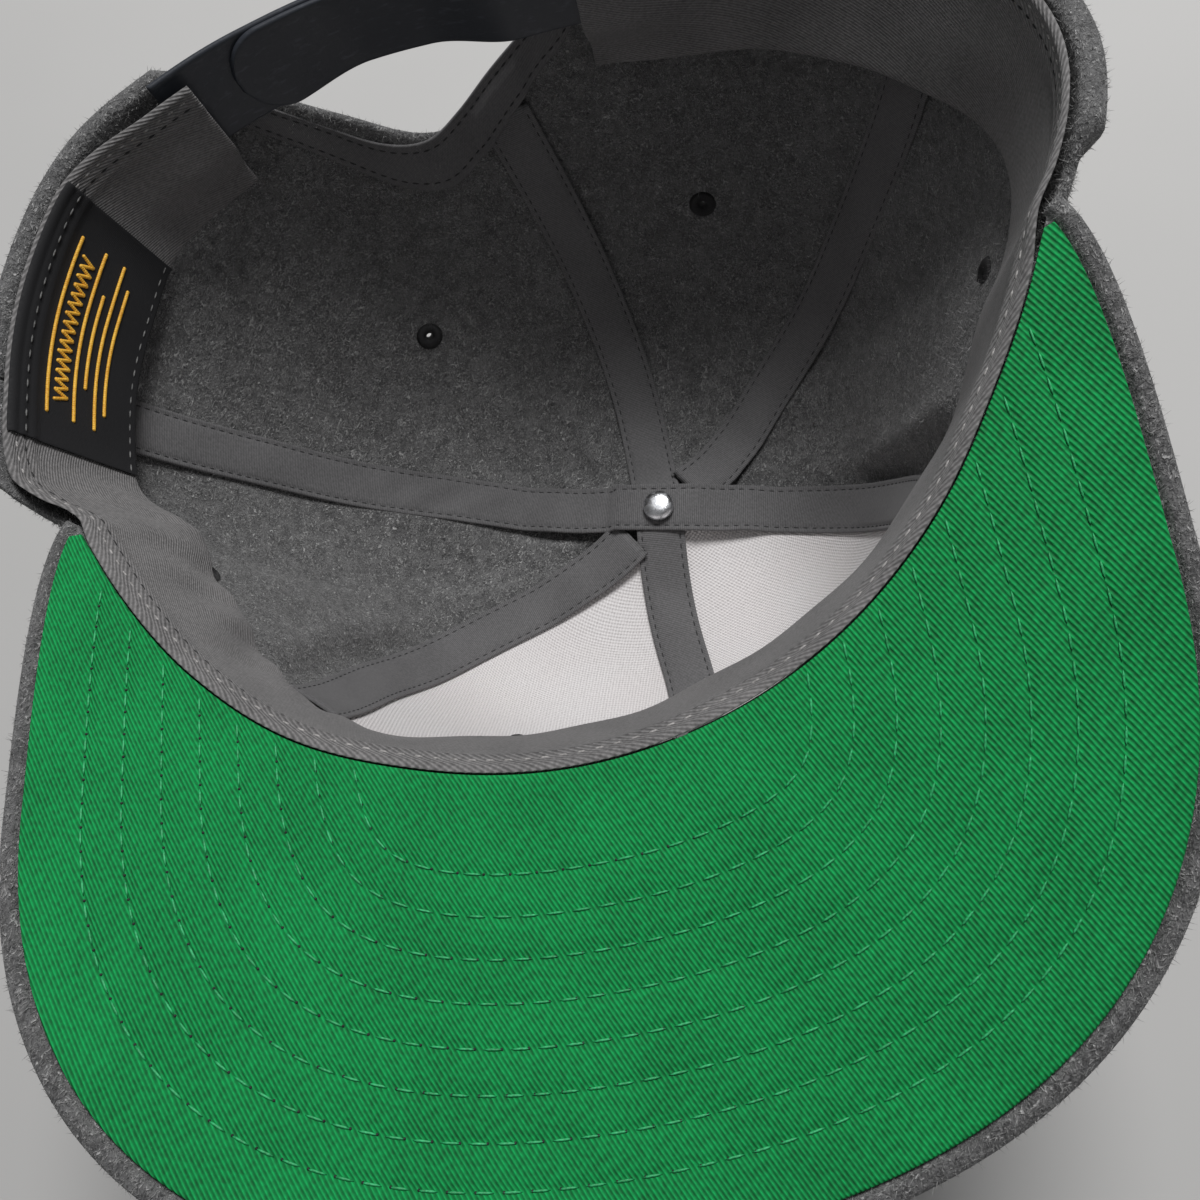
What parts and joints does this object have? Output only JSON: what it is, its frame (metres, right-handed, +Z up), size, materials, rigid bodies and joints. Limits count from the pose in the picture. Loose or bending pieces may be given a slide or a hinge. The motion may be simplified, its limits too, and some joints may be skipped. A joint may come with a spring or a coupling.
{
  "type": "snapback cap",
  "caption": "Wool snapback cap lying upside down on its crown: panels with taped seams, flat brim with green twill underside, sweatband, plain woven label and plastic snap strap",
  "frame": {"origin": "On the floor under the middle of the whole cap's box, as it lies on its crown", "axes": "+Z up out of the open cap, -Y toward the brim's tip, +Y toward the strap, +X to the right seen from the brim"},
  "size_m": [0.2084, 0.2378, 0.1338],
  "materials": {
    "wool": "heather grey wool cloth with a short fuzzy nap",
    "green_twill": "kelly green cotton twill, matt",
    "buckram": "off-white plain weave, stiffened",
    "tape": "dark warm grey twill tape, matt",
    "sweatband": "dark warm grey cotton twill, matt",
    "label": "black woven damask with plain gold lines",
    "strap_plastic": "dark blue-grey moulded plastic, satin",
    "rivet_metal": "polished silver, plain dome",
    "thread": "dark embroidery thread"
  },
  "bodies": {
    "root": {"panel_front_left": "wool", "panel_front_right": "wool", "panel_side_right": "wool", "panel_back_right": "wool", "panel_back_left": "wool", "panel_side_left": "wool", "brim": "wool", "top_button": "wool", "under_brim": "green_twill", "buckram_left": "buckram", "buckram_right": "buckram", "tape_front_centre": "tape", "tape_front_left": "tape", "tape_back_centre": "tape", "tape_rear_right": "tape", "tape_cross": "tape", "arch_binding": "tape", "sweatband": "sweatband", "label": "label", "strap_holes": "strap_plastic", "strap_pegs": "strap_plastic", "rivet": "rivet_metal", "eyelet_front_left": "thread", "eyelet_front_right": "thread", "eyelet_side_right": "thread", "eyelet_back_right": "thread", "eyelet_back_left": "thread", "eyelet_side_left": "thread"}
  },
  "joints": []
}
